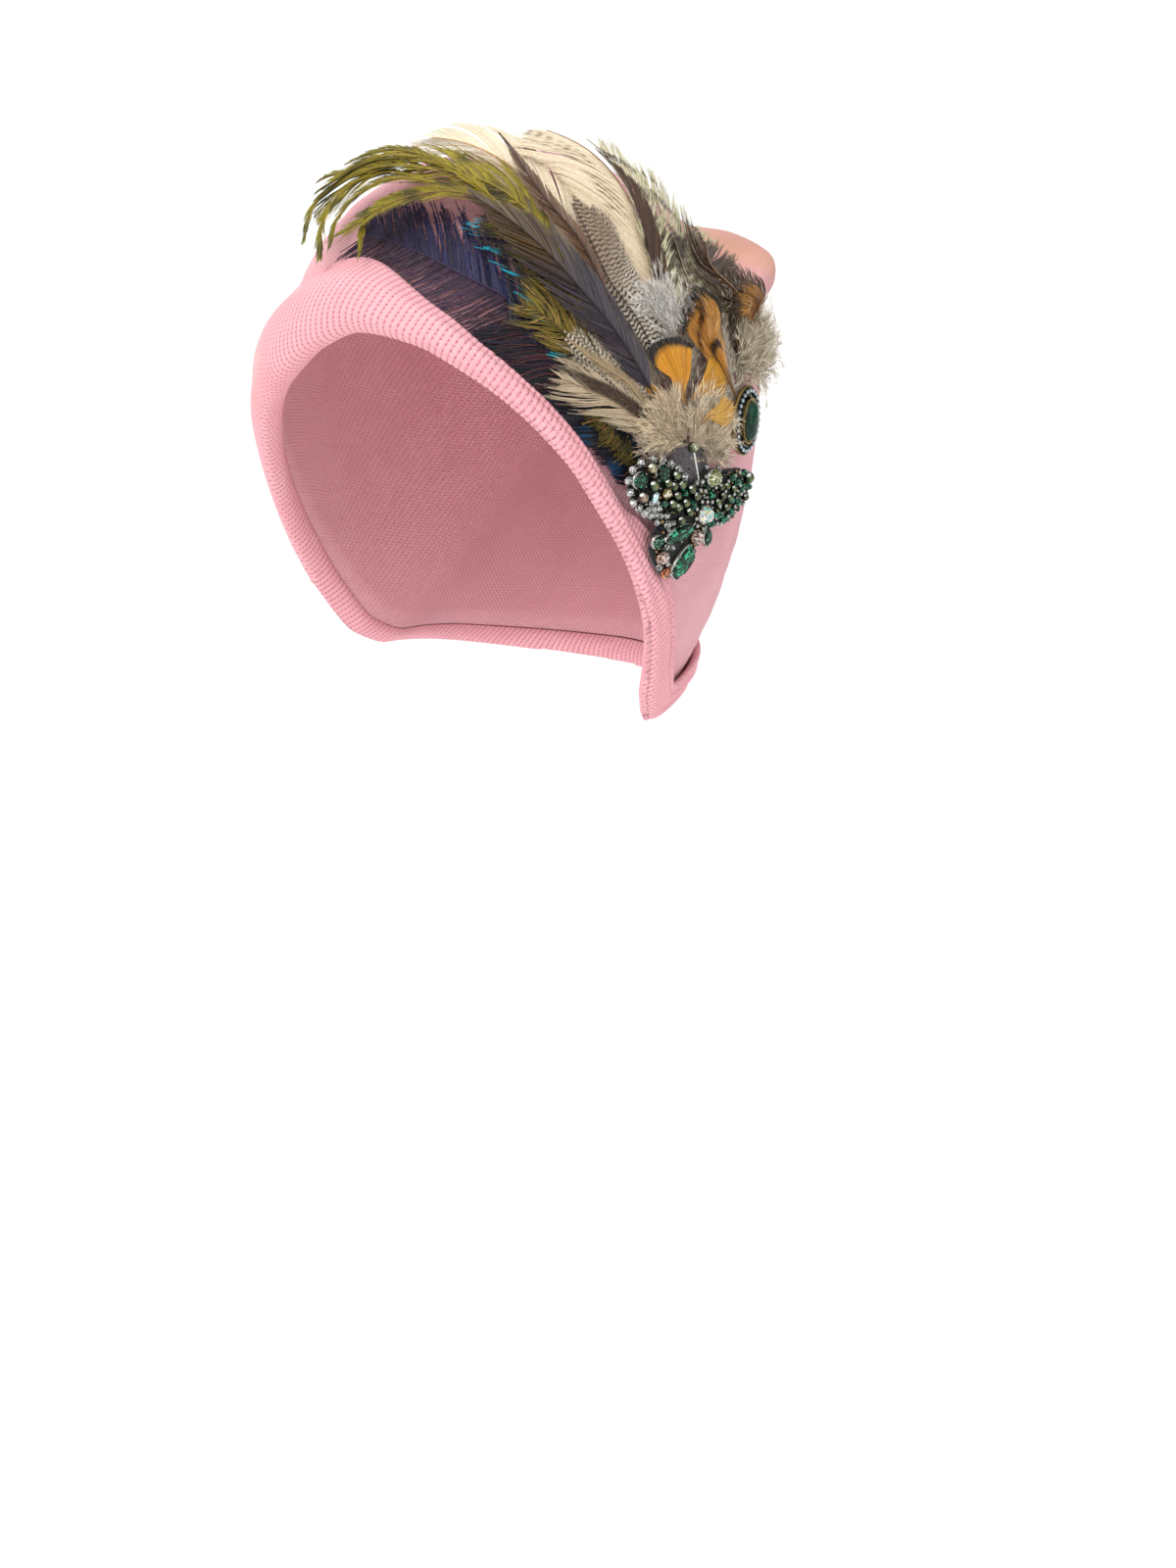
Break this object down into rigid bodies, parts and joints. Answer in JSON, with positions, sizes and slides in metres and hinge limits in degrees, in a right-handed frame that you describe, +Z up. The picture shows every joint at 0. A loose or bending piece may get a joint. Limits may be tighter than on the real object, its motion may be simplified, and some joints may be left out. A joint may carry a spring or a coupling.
{
  "type": "flapper beanie",
  "caption": "Soft pink knitted head-hugging hat with a rolled rib cuff, a swept feather spray over one side, a green jewel cluster and an oval brooch.",
  "frame": {"origin": "middle of the head at the hat-size line, 98 mm below the crown's top", "axes": "+Z up with the head upright, the face opening towards -Y, the wearer's left towards +X"},
  "size_m": [0.1781, 0.2062, 0.2149],
  "materials": {
    "aurora": "clear cut glass with a rainbow coat",
    "barred": "black and white wavy bars",
    "brown": "warm brown vane with a dark rib",
    "cream": "cream to beige vane, soft",
    "dark": "dark brown vane with pale ribs",
    "down": "grey-beige down, very soft",
    "emerald": "emerald green cut glass",
    "felt_black": "black felt",
    "gold": "orange gold vane with a black tip, glossy",
    "gold_metal": "bright gold plate",
    "green": "pale grey-green mottled vane",
    "knit_pink": "fine pink rib knit, matt and slightly fuzzy",
    "knit_pink_cuff": "fine pink rib knit, matt and slightly fuzzy",
    "metal_bead": "polished champagne green metal",
    "navy": "indigo and aubergine ostrich barbs, soft sheen",
    "olive": "olive mustard barbs, soft sheen",
    "olive_glass": "pale olive cut glass",
    "peacock": "olive barbs with bright blue-green tips",
    "rose_glass": "clear rose cut glass",
    "silver_metal": "bright silver plate",
    "slate": "brown to slate glossy vane",
    "striped": "beige vane with dark brown bands",
    "teal": "dark teal to black ostrich barbs"
  },
  "bodies": {
    "root": {"barred_fine": "barred", "barred_low": "barred", "bead_a": "metal_bead", "bead_b": "metal_bead", "bead_c": "metal_bead", "bead_end": "metal_bead", "brown_pointed": "brown", "cream_left": "cream", "cream_right": "cream", "crown": "knit_pink", "cuff": "knit_pink_cuff", "dark_edge_a": "dark", "dark_edge_b": "dark", "fluff_left": "down", "fluff_mid": "down", "fluff_right": "down", "fluff_white": "down", "gold_pin": "gold_metal", "golden_b": "gold", "golden_c": "gold", "golden_d": "gold", "golden_fan": "gold", "golden_narrow": "gold", "golden_thin": "gold", "green_mottled_a": "green", "green_mottled_b": "green", "green_mottled_c": "green", "hatpin": "silver_metal", "olive_base": "olive", "olive_tuft": "olive", "ostrich_navy": "navy", "ostrich_teal": "teal", "oval_cabochon": "emerald", "oval_setting": "gold_metal", "peacock_edge": "peacock", "plume_olive": "olive", "plume_olive_low": "olive", "slate_glossy": "slate", "spray_backing": "felt_black", "stone_aurora": "aurora", "stone_long": "emerald", "stone_navette_a": "emerald", "stone_navette_b": "emerald", "stone_olive": "olive_glass", "stone_oval_dark": "emerald", "stone_rose_clear": "rose_glass", "stone_rose_small": "rose_glass", "stone_round_a": "emerald", "stone_round_b": "emerald", "striped_a": "striped", "striped_b": "striped", "vermiculated": "green"}
  },
  "joints": []
}
